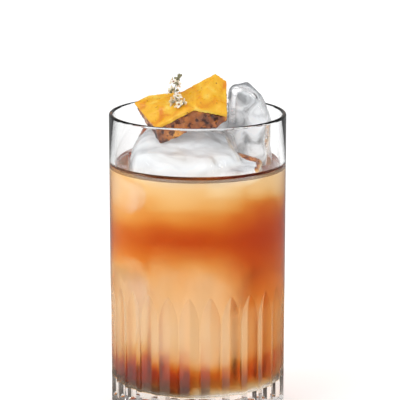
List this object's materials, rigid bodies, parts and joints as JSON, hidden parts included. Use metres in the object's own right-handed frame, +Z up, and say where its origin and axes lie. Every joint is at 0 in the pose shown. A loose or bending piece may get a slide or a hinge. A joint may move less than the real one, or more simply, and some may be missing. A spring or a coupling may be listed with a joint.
{
  "type": "old fashioned cocktail in a cut tumbler",
  "caption": "Iced amber cocktail in a straight fluted tumbler with a thick base, clear ice standing above the rim, and a honeycomb and blossom garnish.",
  "frame": {"origin": "centre of the tumbler's foot, on the surface that it stands on", "axes": "+Z up along the tumbler's axis, +Y away from the drinker, +X to the drinker's right"},
  "size_m": [0.072, 0.072, 0.1393],
  "materials": {
    "clear_glass": "clear polished glass with mitre-cut flutes",
    "amber_drink": "clear amber liquid",
    "clear_ice": "wet clear ice with cloudy patches",
    "comb_wax": "glossy yellow beeswax capping",
    "comb_body": "sticky brown honey-filled cells",
    "blossom": "soft cream petals on a grey-green stem"
  },
  "bodies": {
    "root": {"tumbler": "clear_glass", "drink": "amber_drink", "ice_front": "clear_ice", "ice_rear": "clear_ice", "ice_chip": "clear_ice", "comb_cap": "comb_wax", "comb_cells": "comb_body", "blossom_sprig": "blossom"}
  },
  "joints": []
}
